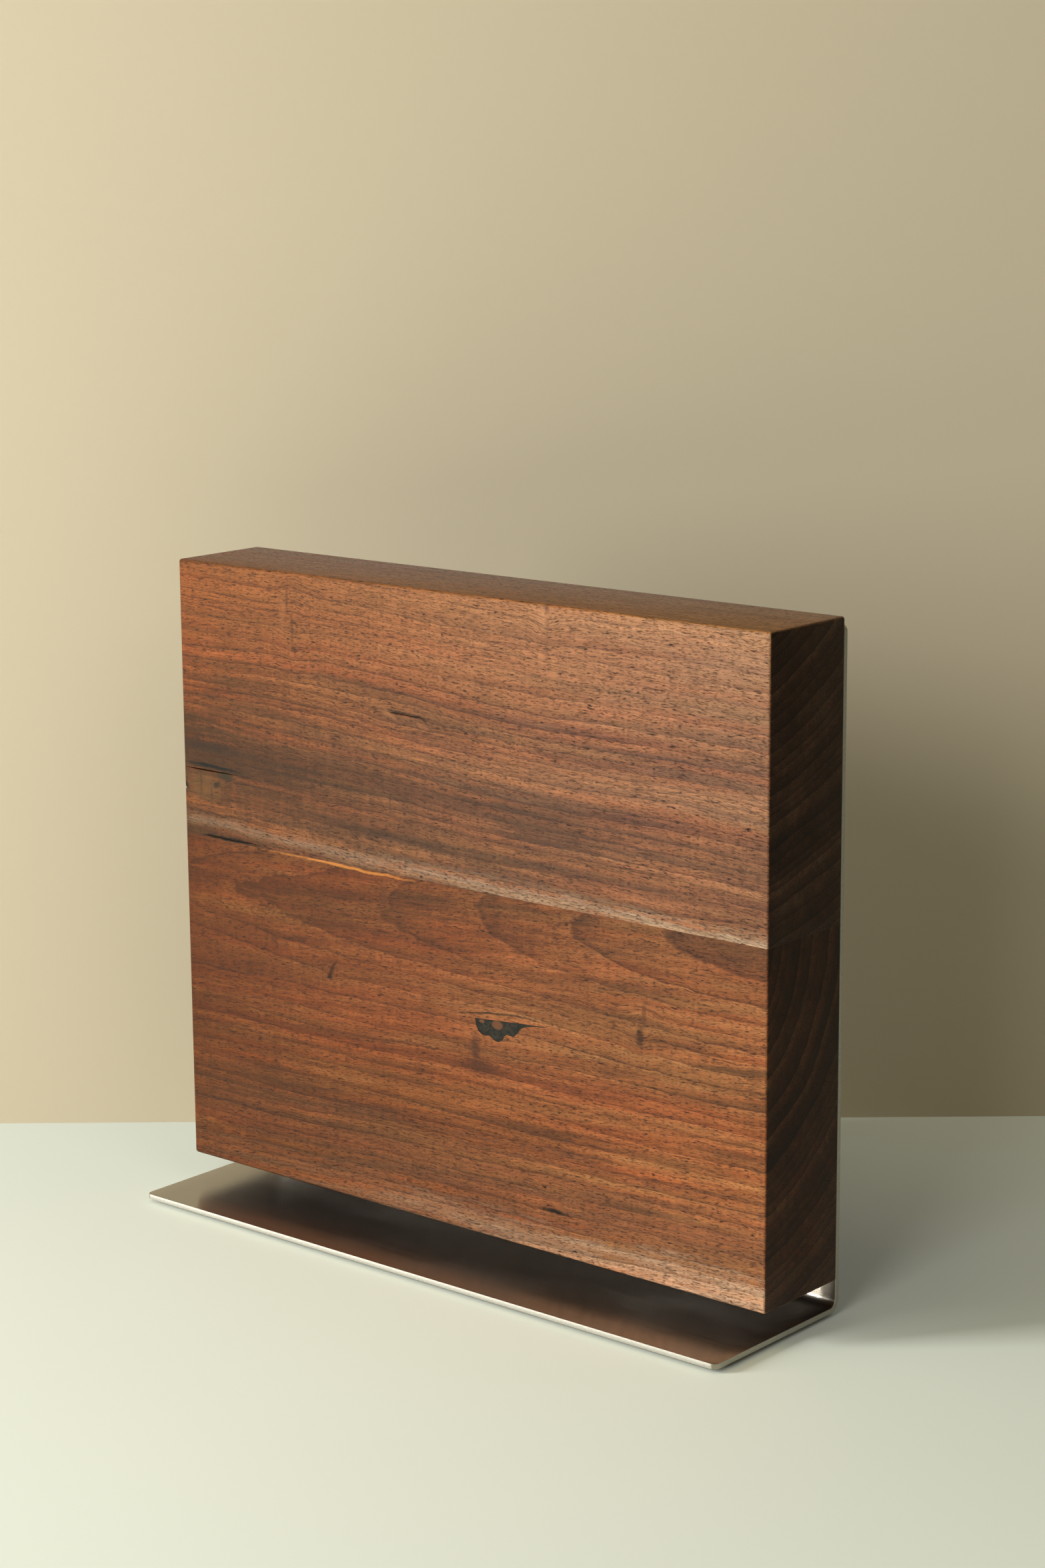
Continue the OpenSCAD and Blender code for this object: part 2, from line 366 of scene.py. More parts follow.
def walnut(name, tree, knots, bands, marks):
    """Oiled walnut. Everything is a function of the point in space, so face, top and end agree."""
    s = Shader(name)
    here = s.millimetres()
    swept = s.shift(here, s.wander(here, (0.005, 0.012, 0.012), (0, 6, 5)))
    x, y, z = s.axes(s.shift(swept, s.wander(here, (0.10, 0.10, 0.16), (0, 0.7, 0.7))))
    z = part_round_knots(s, x, z, knots)

    lines, place, chance = growth_rings(s, x, ring_distance(s, x, y, z, tree), tree)
    along = s.vector(x, y, s.minus(z, s.times(x, tree["lean_z"])))
    streaks = grain_streaks(s, along)
    pores = vessels(s, along, place, lines)

    # Which way the surface faces, from 0 to 1 each
    facing = s.axes(s.node("ShaderNodeNewGeometry").outputs["True Normal"])
    end = s.smooth(s.math("ABSOLUTE", facing[0]), 0.5, 0.95)
    top = s.smooth(facing[2], 0.5, 0.95)
    under = s.smooth(facing[2], -0.5, -0.95)

    colour = ground_colour(s, streaks, place, chance, tree)
    colour = lay_bands(s, colour, x, z, end, streaks, bands)
    colour = tint_and_light_by_place(s, colour, x, z, tree)
    colour = lay_fibres(s, colour, lines, pores, streaks, tree)
    colour = lay_marks(s, colour, here, x, y, z, marks)
    colour = tone_and_shade_sides(s, colour, end, top, under, place, chance)

    height = s.minus(s.times(streaks["fine"], 0.3), pores)
    rough = s.add(s.scale(streaks["middle"], 0.3, 0.7, 0.36, 0.44), s.times(pores, 0.12))
    return s.finish(Base_Color=colour, Roughness=s.add(rough, s.times(under, 0.4)),
                    Normal=s.bump(height, 0.35, 0.12 * MM),
                    Specular_IOR_Level=s.scale(under, 0.0, 1.0, 0.15, 0.0))


def upper_walnut():
    """The darker plank, with a grey streak at its left, bark seams and pale sapwood at the joint."""
    z = JOINT_Z / MM
    grey = linear(66, 48, 33)
    tan = linear(128, 86, 56)
    pale = linear(140, 113, 88)
    # The pith's line, a ring's width and the noise's seed; then tints, and colours from dark to pale
    tree = {
        "pith_y": -40.0, "pith_z": z + 190.0, "lean_y": 0.02, "lean_z": -0.03,
        "ring": 4.2, "seed": 0.0,
        "tint_left": (1.08, 0.80, 0.50, 1), "tint_right": (1.64, 1.74, 1.80, 1),
        "drift_z": (z, z + 115), "drift": (1.0, 1.0), "line_colour": linear(34, 24, 20),
        "pore_colour": linear(44, 28, 21),
        "palette": [(0.34, linear(66, 44, 30)), (0.50, linear(99, 65, 40)), (0.68, linear(126, 88, 58))],
        "warm": [(0.34, linear(74, 42, 28)), (0.50, linear(109, 64, 39)), (0.68, linear(136, 86, 56))],
    }
    # Height at the left and right ends, half height, strength at the left and right ends, colour
    bands = [
        (z + 104, z + 110, 40, 0.5, 0.6, tan),
        (z + 30, z + 28, 42, 0.95, -0.1, grey),
        (z + 36, z + 32, 15, 0.7, 0.0, linear(50, 37, 27)),
        (z + 3, z - 2, 9, 0.9, 0.0, linear(52, 38, 26)),
        (z + 11, z + 9, 5, 0.45, 0.0, linear(78, 57, 42)),
        (z + 6.0, z + 0.5, 5, 0.1, 1.0, pale),
        (z + 6.5, z + 2.0, 3, 0.35, 0.0, linear(134, 122, 116)),
        (z + 47, z + 51, 11, 0.0, 0.4, linear(142, 98, 66)),
        (z + 113, z + 114, 13, 0.1, 0.5, linear(146, 102, 66)),
    ]
    # Place (x, z), half width, half height, and how strongly the grain is drawn in
    knots = [
        (47, z + 114, 7, 9, 0.6), (-26, z + 64, 22, 8, 0.45), (-85, z + 96, 8, 16, 0.3),
        (-136, z + 20, 14, 6, 0.4),
    ]
    # Place (x, z), half width, half height, slope, strength, colour
    marks = [
        (47, z + 114.5, 1.5, 1.4, 0.0, 0.45, linear(70, 42, 28)),
        (44.5, z + 112, 2.4, 3.2, 0.0, 0.3, linear(176, 122, 82)),
        (47, z + 101, 1.4, 11, 0.0, 0.22, linear(66, 42, 28)),
        (-25, z + 65.0, 13, 0.5, -0.03, 0.85, BARK),
        (-35, z + 64.6, 5.0, 1.2, -0.2, 0.3, linear(172, 114, 72)),
        (-33, z + 63.0, 2.6, 1.0, -0.3, 0.4, linear(66, 44, 30)),
        (-17, z + 62.8, 4.0, 0.9, -0.1, 0.22, linear(160, 106, 68)),
        (-136, z + 37, 22, 2.6, 0.0, 0.6, linear(42, 31, 24)),
        (-60, z + 47, 40, 2.2, -0.06, 0.35, linear(52, 36, 26)),
        (45, z + 27, 26, 6, 0.0, 0.35, linear(56, 40, 30)),
        (125, z + 58, 32, 2.4, -0.03, 0.35, linear(62, 42, 30)),
        (105, z + 12, 26, 2.0, 0.0, 0.3, linear(62, 42, 30)),
        (-84.6, z + 86, 1.7, 1.3, -0.4, 0.75, linear(46, 30, 22)),
        (-85.6, z + 92, 1.0, 7, 0.0, 0.55, linear(58, 38, 26)),
        (-88.3, z + 103.5, 1.0, 6, 0.0, 0.5, linear(58, 38, 26)),
        (-91, z + 98, 2.2, 10, 0.0, 0.22, linear(150, 98, 60)),
        (-138, z + 20, 13, 6.0, 0.0, 0.3, linear(112, 80, 44)),
        (-126, z + 25.5, 6, 2.4, 0.0, 0.75, linear(40, 38, 26)),
        (-133, z + 28.6, 20, 1.15, 0.0, 1.0, BARK),
        (-149, z + 19.8, 2.2, 1.2, -0.6, 1.0, BARK),
        (-131, z + 21.0, 2.4, 1.1, 0.3, 0.8, linear(30, 28, 22)),
        (-134, z + 17, 0.8, 5, 0.0, 0.5, linear(60, 42, 26)),
        (-140, z + 21, 0.7, 5, 0.0, 0.5, linear(60, 42, 26)),
        (-128, z + 18, 0.7, 4, 0.0, 0.45, linear(60, 42, 26)),
        (-122, z + 0.9, 20, 1.0, 0.0, 1.0, BARK),
    ]
    return walnut("walnut_upper", tree, knots, bands, marks)


def lower_walnut():
    """The redder plank, cut near the pith, so that its growth rings arch below the joint."""
    z = BLOCK_Z / MM
    brown = linear(84, 56, 40)
    pale = linear(150, 122, 98)
    red = linear(100, 54, 31)
    gold = linear(190, 120, 54)
    # The pith's line, a ring's width and the noise's seed; then tints, and colours from dark to pale
    tree = {
        "pith_y": -49.7, "pith_z": z + 130.5, "lean_y": 0.065, "lean_z": 0.05,
        "ring": 4.6, "seed": 12.9,
        "tint_left": (0.68, 0.54, 0.35, 1), "tint_right": (1.80, 1.84, 1.80, 1),
        "drift_z": (z, z + 139), "drift": (1.25, 0.84), "line_colour": linear(38, 23, 16),
        "pore_colour": linear(46, 27, 19),
        "palette": [(0.34, linear(66, 41, 24)), (0.50, linear(99, 61, 33)), (0.68, linear(122, 82, 48))],
        "warm": [(0.34, linear(74, 38, 21)), (0.50, linear(109, 58, 30)), (0.68, linear(134, 78, 44))],
    }
    # Height at the left and right ends, half height, strength at the left and right ends, colour
    bands = [
        (z + 92, z + 84, 42, 0.65, 0.0, red),
        (z + 26, z + 22, 26, 0.5, 0.5, brown),
        (z + 6, z + 9, 8, 0.3, 0.2, linear(114, 84, 62)),
        # The pale band at the lower right is partly paler wood and partly painted sheen.
        (z - 6, z + 3, 14, 0.0, 0.62, pale),
    ]
    # Place (x, z), half width, half height, and how strongly the grain is drawn in
    knots = [
        (-68, z + 96, 8, 6, 0.6), (22, z + 86, 22, 9, 0.5), (91, z + 100, 7, 9, 0.5),
        (49, z + 18.6, 12, 4, 0.4),
    ]
    # Place (x, z), half width, half height, slope, strength, colour
    marks = [
        (-67, z + 96.5, 3.4, 1.2, 0.9, 0.75, linear(42, 24, 16)),
        (-68.5, z + 94.5, 1.7, 1.2, 0.0, 0.85, linear(30, 20, 16)),
        (91.4, z + 97.2, 2.1, 4.2, 0.0, 0.8, linear(44, 27, 18)),
        (93.2, z + 103.5, 1.4, 4.5, 0.0, 0.45, linear(50, 30, 20)),
        (21, z + 89.6, 27, 0.55, 0.073, 0.8, linear(34, 28, 20)),
        (9.5, z + 76, 2.8, 8, 0.0, 0.65, linear(58, 34, 24)),
        (13, z + 68, 10, 4.5, 0.0, 0.65, linear(58, 34, 24)),
        (49, z + 18.6, 8, 0.8, 0.0, 0.95, BARK),
        (140, z + 92, 22, 1.8, 0.06, 0.5, linear(52, 38, 26)),
        (136, z + 59, 26, 2.2, 0.06, 0.5, linear(52, 38, 26)),
        (88, z + 28, 20, 2.2, 0.05, 0.45, linear(58, 42, 28)),
        (45, z + 50, 34, 1.8, 0.06, 0.35, linear(60, 40, 26)),
        (-105, z + 46, 40, 2.0, 0.02, 0.35, linear(66, 40, 24)),
        (-60, z + 69, 44, 1.4, 0.05, 0.35, linear(66, 36, 22)),
        (-84, z + 133, 4, 5, 0.0, 0.35, linear(60, 30, 20)),
        (-38, z + 131, 3, 7, 0.0, 0.45, linear(58, 38, 24)),
        (-60, z + 139.7, 42, 0.7, 0.0, 0.8, gold),
    ]
    return walnut("walnut_lower", tree, knots, bands, marks)


# ---------------------------------------------------------------- metal and other materials

def brushed_steel():
    """Stainless sheet brushed along its width, with soft smudges and paler, blasted-looking cut edges."""
    s = Shader("brushed_stainless")
    here = s.millimetres()
    x, y, z = s.axes(here)
    hair = s.noise(here, (0.018, 7.0, 7.0), 3.0, 0.6)
    brush = s.noise(here, (0.006, 1.6, 1.6), 2.0)
    smudge = s.noise(here, (0.016, 0.03, 0.03), 3.0, 0.5, 0.6)
    burr = s.noise(here, (1.5, 1.5, 1.5), 3.0)

    # Distance in from the nearest cut edge: the two sides, the foot's front and the leg's top
    side = s.minus(STAND_HIGH.x / MM, s.math("ABSOLUTE", x))
    front = s.minus(y, STAND_LOW.y / MM)
    top = s.minus(STAND_HIGH.z / MM, z)
    inward = s.math("MINIMUM", s.math("MINIMUM", side, front), top)
    edge = s.smooth(inward, 0.28, 0.12)

    level = s.times(s.scale(hair, 0.25, 0.75, 0.92, 1.06), s.scale(brush, 0.3, 0.7, 0.95, 1.04))
    colour = s.brighten(linear(168, 160, 147), level)
    colour = s.mix(edge, colour, s.mix(burr, linear(158, 154, 142), linear(204, 200, 188)))
    roughness = s.add(s.scale(hair, 0.3, 0.7, 0.16, 0.22), s.scale(smudge, 0.45, 0.7, 0.0, 0.04))
    roughness = s.add(roughness, s.times(edge, 0.34))
    return s.finish(Base_Color=colour, Metallic=1.0, Roughness=roughness,
                    Anisotropic=s.scale(edge, 0.0, 1.0, 0.8, 0.0), Anisotropic_Rotation=0.25,
                    Tangent=s.vector(1.0, 0.0, 0.0),
                    Normal=s.bump(s.add(hair, s.times(brush, 0.5)), 0.12, 0.02 * MM))


def turned_metal(name, base, rough):
    """Small plated or turned hardware, with faint mottling and handling wear."""
    s = Shader(name)
    here = s.millimetres()
    grain = s.noise(here, (2.2, 2.2, 2.2), 3.0, 0.6)
    cloud = s.noise(here, (0.25, 0.25, 0.25), 2.0)
    level = s.times(s.scale(grain, 0.3, 0.7, 0.9, 1.06), s.scale(cloud, 0.3, 0.7, 0.92, 1.04))
    colour = s.brighten(base, level)
    roughness = s.scale(grain, 0.3, 0.7, rough - 0.05, rough + 0.1)
    return s.finish(Base_Color=colour, Metallic=1.0, Roughness=roughness,
                    Normal=s.bump(grain, 0.15, 0.03 * MM))


def pad_rubber():
    """Black rubber with a fine grain and a little dust."""
    s = Shader("pad_rubber")
    here = s.millimetres()
    grain = s.noise(here, (3.5, 3.5, 3.5), 4.0, 0.7)
    dust = s.noise(here, (0.3, 0.3, 0.3), 3.0, 0.6)
    colour = s.mix(s.scale(dust, 0.45, 0.75, 0.0, 0.35), linear(40, 42, 44), linear(84, 84, 82))
    colour = s.mix(s.scale(grain, 0.3, 0.7, 0.0, 0.25), colour, linear(22, 23, 25))
    return s.finish(Base_Color=colour, Roughness=s.scale(grain, 0.3, 0.7, 0.6, 0.8),
                    Normal=s.bump(grain, 0.4, 0.08 * MM))


def knot_black():
    """Dark bark and filler in the pocket, with islands of brown wood left in it."""
    s = Shader("knot_black")
    here = s.millimetres()
    x, _, z = s.axes(here)
    crust = s.noise(here, (0.8, 0.8, 1.0), 5.0, 0.7)
    black = s.mix(s.scale(crust, 0.42, 0.72), linear(14, 15, 12), linear(58, 52, 40))
    wood = s.mix(crust, linear(72, 46, 28), linear(118, 72, 42))
    island = 0.0
    width = (KNOT_HIGH.x - KNOT_LOW.x) / MM
    # Share of the pocket's width from its left end, depth below its top, half width, half height
    for across, down, half_w, half_h in [(0.30, 3.9, 3.0, 1.9), (0.09, 3.7, 1.5, 0.8)]:
        u = s.math("DIVIDE", s.minus(x, KNOT_LOW.x / MM + across * width), half_w)
        v = s.math("DIVIDE", s.minus(z, KNOT_HIGH.z / MM - down), half_h)
        off = s.add(s.distance(u, v), s.times(crust, 0.9))
        island = s.math("MAXIMUM", island, s.smooth(off, 1.5, 1.2))
    colour = s.mix(s.times(island, 0.85), black, wood)
    return s.finish(Base_Color=colour, Roughness=s.scale(crust, 0.3, 0.7, 0.4, 0.75),
                    Normal=s.bump(crust, 0.7, 0.25 * MM), Specular_IOR_Level=0.2)


def plain_wood(name, light, dark, cycles):
    """Unfinished wood for the hidden plugs and dowels; cycles per mm are fewest along the grain."""
    s = Shader(name)
    here = s.millimetres()
    streak = s.noise(here, cycles, 4.0, 0.6)
    colour = s.mix(s.scale(streak, 0.3, 0.7), dark, light)
    return s.finish(Base_Color=colour, Roughness=s.scale(streak, 0.3, 0.7, 0.6, 0.75),
                    Normal=s.bump(streak, 0.3, 0.1 * MM))


# ---------------------------------------------------------------- mesh building

def new_piece(name, shape, material, smooth=True):
    """A mesh object from a bmesh, with one material."""
    mesh = bpy.data.meshes.new(name)
    if len(shape.faces) > 1:              # a single face keeps the side that its corners give it
        bmesh.ops.recalc_face_normals(shape, faces=shape.faces)
    shape.to_mesh(mesh)
    shape.free()
    piece = bpy.data.objects.new(name, mesh)
    bpy.context.scene.collection.objects.link(piece)
    if material:
        mesh.materials.append(material)
    if smooth:
        mesh.shade_smooth()
        mesh.set_sharp_from_angle(angle=SHARP_ANGLE)
    return piece


def put_on(piece, slot, *replaced):
    """The piece rides on the body in place of CAD nodes; slot, the record's name for its finish, is not
    used.
    """
    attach(piece, BODY)
    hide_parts(*replaced)


def settle_modifiers(piece):
    """Applies a piece's modifiers and marks its sharp edges again."""
    depsgraph = bpy.context.evaluated_depsgraph_get()
    final = bpy.data.meshes.new_from_object(piece.evaluated_get(depsgraph))
    piece.modifiers.clear()
    piece.data = final
    final.shade_smooth()
    final.set_sharp_from_angle(angle=SHARP_ANGLE)


def rod(shape, centre, radius, start, end, axis="Y"):
    """Adds a closed cylinder to a bmesh, from start to end along one axis."""
    turn = {"Y": Matrix.Rotation(math.radians(-90), 4, "X"), "Z": Matrix.Identity(4)}[axis]
    middle = Vector(centre)
    setattr(middle, axis.lower(), (start + end) / 2)
    bmesh.ops.create_cone(shape, cap_ends=True, segments=ROUND_SIDES, radius1=radius,
                          radius2=radius, depth=end - start,
                          matrix=Matrix.Translation(middle) @ turn)


def cut(piece, cutter_shape):
    """Takes a closed bmesh away from a piece."""
    cutter = new_piece("cutter", cutter_shape, None, smooth=False)
    modifier = piece.modifiers.new("cut", "BOOLEAN")
    modifier.operation = "DIFFERENCE"
    modifier.solver = "EXACT"
    modifier.object = cutter
    settle_modifiers(piece)
    bpy.data.objects.remove(cutter)


# ---------------------------------------------------------------- planks

GLUE_GAP = 0.1 * MM                   # round each part set in the wood
INSERT_RADIUS = 4.5 * MM
DOWELS = 4
EASE = 1.2 * MM                       # rounding of the planks' outer edges
FILL_DEPTH = 0.15 * MM                # the knot's fill lies this far below the face
BEYOND = MM                           # how far a cutter sticks out past the surface it opens


def eased_block(low, high, keep_sharp_z):
    """A box whose edges are rounded, apart from those in the glued joint at keep_sharp_z."""
    shape = bmesh.new()
    bmesh.ops.create_cube(shape, size=1.0)
    for vert in shape.verts:
        vert.co = Vector(low[i] if vert.co[i] < 0 else high[i] for i in range(3))
    eased = [
        edge for edge in shape.edges
        if not all(abs(vert.co.z - keep_sharp_z) < MM for vert in edge.verts)
    ]
    bmesh.ops.bevel(shape, geom=eased, offset=EASE, segments=4, profile=0.5, affect="EDGES")
    return shape


def spread(start, end, count):
    """count places, evenly spaced from start to end."""
    return [start + (end - start) * i / (count - 1) for i in range(count)]


def fixing_places(node, radius):
    """Centres (x, z) of six round fixings in two rows of three, from the box round them all."""
    low, high = box(node)
    return [
        (x, z)
        for z in (low.z + radius, high.z - radius)
        for x in spread(low.x + radius, high.x - radius, 3)
    ]


def bore_cutters(row, low_z, high_z):
    """Bores for a plank's magnets, plugs and inserts, open at the back, and for the dowels of the joint."""
    shape = bmesh.new()
    outside = BACK_Y + BEYOND
    for node in nodes_named(f"{row}_magnet_"):
        low, high = box(node)
        rod(shape, (low + high) / 2, (high.x - low.x) / 2 + GLUE_GAP, low.y, outside)
    deepest = box("threaded_inserts")[0].y
    for x, z in fixing_places("threaded_inserts", INSERT_RADIUS):
        if low_z < z < high_z:
            rod(shape, Vector((x, 0, z)), INSERT_RADIUS + GLUE_GAP, deepest, outside)
    low, high = box("joint_dowels")
    radius = (high.y - low.y) / 2
    for x in spread(low.x + radius, high.x - radius, DOWELS):
        rod(shape, Vector((x, low.y + radius, 0)), radius + GLUE_GAP, low.z, high.z, axis="Z")
    return shape


def plank(name, low, high, material):
    """One plank with eased edges and the bores for what is set in it."""
    piece = new_piece(name + "_walnut", eased_block(low, high, JOINT_Z), material)
    cut(piece, bore_cutters(name.split("_")[0], low.z, high.z))
    return piece


# Lower edge of the bark pocket, left to right, as fractions of its width and of its height down
KNOT_EDGE = [
    (0.0, 0.277), (0.018, 0.58), (0.052, 0.76), (0.112, 0.87), (0.19, 0.84),
    (0.253, 0.96), (0.31, 1.0), (0.37, 0.90), (0.42, 0.673), (0.52, 0.663),
    (0.58, 0.50), (0.643, 0.26), (0.78, 0.12), (0.9, 0.07), (1.0, 0.0),
]


def rounded_run(points, steps):
    """A smooth (Catmull-Rom) curve through points, with steps pieces between each pair."""
    padded = [points[0]] + points + [points[-1]]
    run = []
    for before, start, end, after in zip(padded, padded[1:], padded[2:], padded[3:]):
        for step in range(steps):
            t = step / steps
            run.append(tuple(
                0.5 * (2 * b + (c - a) * t + (2 * a - 5 * b + 4 * c - d) * t * t
                       + (3 * b - a - 3 * c + d) * t ** 3)
                for a, b, c, d in zip(before, start, end, after)
            ))
    return run + [points[-1]]


def knot_outline():
    """The bark pocket in the knife face, as (x, z): rounded lobes hang from a straight split."""
    width = KNOT_HIGH.x - KNOT_LOW.x
    height = KNOT_HIGH.z - KNOT_LOW.z
    return [(KNOT_LOW.x + u * width, KNOT_HIGH.z - v * height) for u, v in rounded_run(KNOT_EDGE, 6)]


def prism(outline, near_y, far_y, shape=None):
    """A closed solid with an (x, z) outline, from near_y to far_y, added to shape."""
    shape = shape or bmesh.new()
    near = [shape.verts.new((x, near_y, z)) for x, z in outline]
    far = [shape.verts.new((x, far_y, z)) for x, z in outline]
    shape.faces.new(near)
    shape.faces.new(list(reversed(far)))
    for i in range(len(outline)):
        j = (i + 1) % len(outline)
        shape.faces.new((near[i], far[i], far[j], near[j]))
    return shape


def sliver(x, z, length, height, slope=0.0):
    """A thin pointed lens in the face, as (x, z) corners, for a split in the wood."""
    half = length / 2
    rim = [
        (-1.0, 0.0), (-0.5, -0.4), (0.0, -0.5), (0.55, -0.3),
        (1.0, 0.0), (0.5, 0.35), (0.0, 0.5), (-0.6, 0.3),
    ]
    return [(x + u * half, z + v * height + u * half * slope) for u, v in rim]


def split_cutters():
    """Open splits, a bark seam and a chipped edge in the upper plank's face."""
    splits = [
        (sliver(-134 * MM, JOINT_Z + 28.6 * MM, 34 * MM, 0.7 * MM), 1.6 * MM),
        (sliver(-25 * MM, JOINT_Z + 65.0 * MM, 22 * MM, 0.6 * MM, -0.03), 1.2 * MM),
        (sliver(-123 * MM, JOINT_Z + 1.1 * MM, 34 * MM, 1.0 * MM), 0.8 * MM),
        (sliver(LEFT_X, JOINT_Z + 19.8 * MM, 2.6 * MM, 2.0 * MM), 5.0 * MM),
    ]
    shape = bmesh.new()
    for outline, depth in splits:
        prism(outline, FACE_Y - BEYOND, FACE_Y + depth, shape)
    return shape


def build_planks():
    """The two planks and the knot's fill; gives them back, because their light is set apart."""
    upper = plank("upper_plank", UPPER_LOW, UPPER_HIGH, upper_walnut())
    lower = plank("lower_plank", LOWER_LOW, LOWER_HIGH, lower_walnut())
    outline = knot_outline()
    cut(upper, split_cutters())
    cut(lower, prism(outline, FACE_Y - BEYOND, KNOT_HIGH.y))
    filler = new_piece("knot_fill", prism(outline, FACE_Y + FILL_DEPTH, KNOT_HIGH.y), knot_black())
    put_on(upper, "walnut_upper", "upper_plank")
    put_on(lower, "walnut_lower", "lower_plank")
    put_on(filler, "black_filler", "knot_filler")
    return [upper, lower, filler]


# ---------------------------------------------------------------- stand

BEND_RADIUS = 3.0 * MM                # on the inside of the bend
CORNER_RADIUS = 3.0 * MM
RIM_EASE = 0.25 * MM
SHEET_COLUMNS = 40                    # faces across the sheet
FOOT_ROWS = 6                         # and along it: on the foot, round the bend and up the leg
BEND_ROWS = 12
LEG_ROWS = 12
SCREW_HEAD_RADIUS = 4.75 * MM
SCREW_HOLE_RADIUS = 2.6 * MM


def sheet_path():
    """Stations along the middle of the sheet, front edge to top: distance so far, total, y, z."""
    middle_z = STAND_LOW.z + SHEET / 2
    middle_y = STAND_HIGH.y - SHEET / 2
    bend = BEND_RADIUS + SHEET / 2
    foot = middle_y - bend - STAND_LOW.y
    arc = bend * math.pi / 2
    leg = STAND_HIGH.z - middle_z - bend
    total = foot + arc + leg

    corner = [CORNER_RADIUS * (1 - math.cos(math.radians(a))) for a in range(0, 91, 9)]
    stops = corner[:]
    stops += [CORNER_RADIUS + (foot - CORNER_RADIUS) * (i + 1) / FOOT_ROWS for i in range(FOOT_ROWS)]
    stops += [foot + arc * (i + 1) / BEND_ROWS for i in range(BEND_ROWS)]
    stops += [foot + arc + (leg - CORNER_RADIUS) * (i + 1) / LEG_ROWS for i in range(LEG_ROWS)]
    stops += [total - stop for stop in reversed(corner[:-1])]

    def place(stop):
        if stop <= foot:
            return STAND_LOW.y + stop, middle_z
        if stop >= foot + arc:
            return middle_y, middle_z + bend + (stop - foot - arc)
        turn = (stop - foot) / bend
        return middle_y - bend + bend * math.sin(turn), middle_z + bend - bend * math.cos(turn)

    return [(stop, total, *place(stop)) for stop in stops]


def sheet_half_width(stop, total):
    """Half the sheet's width at a station, narrower where its free corners round off."""
    half = (STAND_HIGH.x - STAND_LOW.x) / 2
    end = min(stop, total - stop)
    if end >= CORNER_RADIUS:
        return half
    reach = CORNER_RADIUS - end
    return half - CORNER_RADIUS + math.sqrt(max(0.0, CORNER_RADIUS ** 2 - reach ** 2))


def sheet_middle():
    """The surface halfway through the sheet's thickness, as a grid of faces."""
    shape = bmesh.new()
    rows = []
    for stop, total, y, z in sheet_path():
        half = sheet_half_width(stop, total)
        rows.append([
            shape.verts.new((half * (2 * i / SHEET_COLUMNS - 1), y, z))
            for i in range(SHEET_COLUMNS + 1)
        ])
    for row, following in zip(rows, rows[1:]):
        for i in range(SHEET_COLUMNS):
            shape.faces.new((row[i], row[i + 1], following[i + 1], following[i]))
    return shape


def build_stand():
    """The bent sheet, with its thickness, eased rim and screw holes."""
    stand = new_piece("bent_stand", sheet_middle(), brushed_steel())
    thick = stand.modifiers.new("sheet", "SOLIDIFY")
    thick.thickness = SHEET
    thick.offset = 0.0
    thick.use_even_offset = True
    rim = stand.modifiers.new("rim", "BEVEL")
    rim.width = RIM_EASE
    rim.segments = 3
    rim.limit_method = "ANGLE"
    rim.angle_limit = math.radians(60)
    settle_modifiers(stand)
    holes = bmesh.new()
    for x, z in fixing_places("stand_screws", SCREW_HEAD_RADIUS):
        rod(holes, Vector((x, 0, z)), SCREW_HOLE_RADIUS, BACK_Y - BEYOND, BACK_Y + SHEET + BEYOND)
    cut(stand, holes)
    put_on(stand, "brushed_stainless", "stand")
    return stand


# ---------------------------------------------------------------- pads

PAD_EASE = 0.45 * MM                  # radius of the pad's lower rim
PAD_CHAMFER = 0.15 * MM               # where the pad meets the foot
DISH_SHARE = 0.72                     # radius of the hollow underneath, as a share of the pad's


def lathe(profile, centre):
    """A solid of revolution about a vertical axis; profile is (radius, z), bottom to top."""
    shape = bmesh.new()
    turns = [2 * math.pi * i / ROUND_SIDES for i in range(ROUND_SIDES)]
    rings = []
    for radius, z in profile:
        rings.append([
            shape.verts.new((centre.x + radius * math.cos(a), centre.y + radius * math.sin(a), z))
            for a in turns
        ])
    for ring, above in zip(rings, rings[1:]):
        for i in range(ROUND_SIDES):
            j = (i + 1) % ROUND_SIDES
            shape.faces.new((ring[i], ring[j], above[j], above[i]))
    shape.faces.new(list(reversed(rings[0])))
    shape.faces.new(rings[-1])
    return shape


def pad_profile(radius, bottom, top):
    """A shallow dish underneath, then the rounded lower rim, then the chamfer at the top."""
    dish = radius * DISH_SHARE
    profile = [
        (dish * 0.9, bottom + 0.25 * MM),
        (dish, bottom + 0.05 * MM),
        (dish + 0.3 * MM, bottom),
    ]
    for degrees in range(0, 91, 15):
        turn = math.radians(degrees)
        profile.append((radius - PAD_EASE + PAD_EASE * math.sin(turn),
                        bottom + PAD_EASE - PAD_EASE * math.cos(turn)))
    return profile + [(radius, top - PAD_CHAMFER), (radius - PAD_CHAMFER, top)]


def build_pads():
    """A turned rubber pad in place of each of the four pad nodes."""
    rubber = pad_rubber()
    for node in nodes_named("front_") + nodes_named("rear_"):
        low, high = box(node)
        profile = pad_profile((high.x - low.x) / 2, low.z, high.z)
        pad = new_piece(node + "_rubber", lathe(profile, (low + high) / 2), rubber)
        put_on(pad, "pad_rubber", node)


# ---------------------------------------------------------------- carried-over CAD nodes

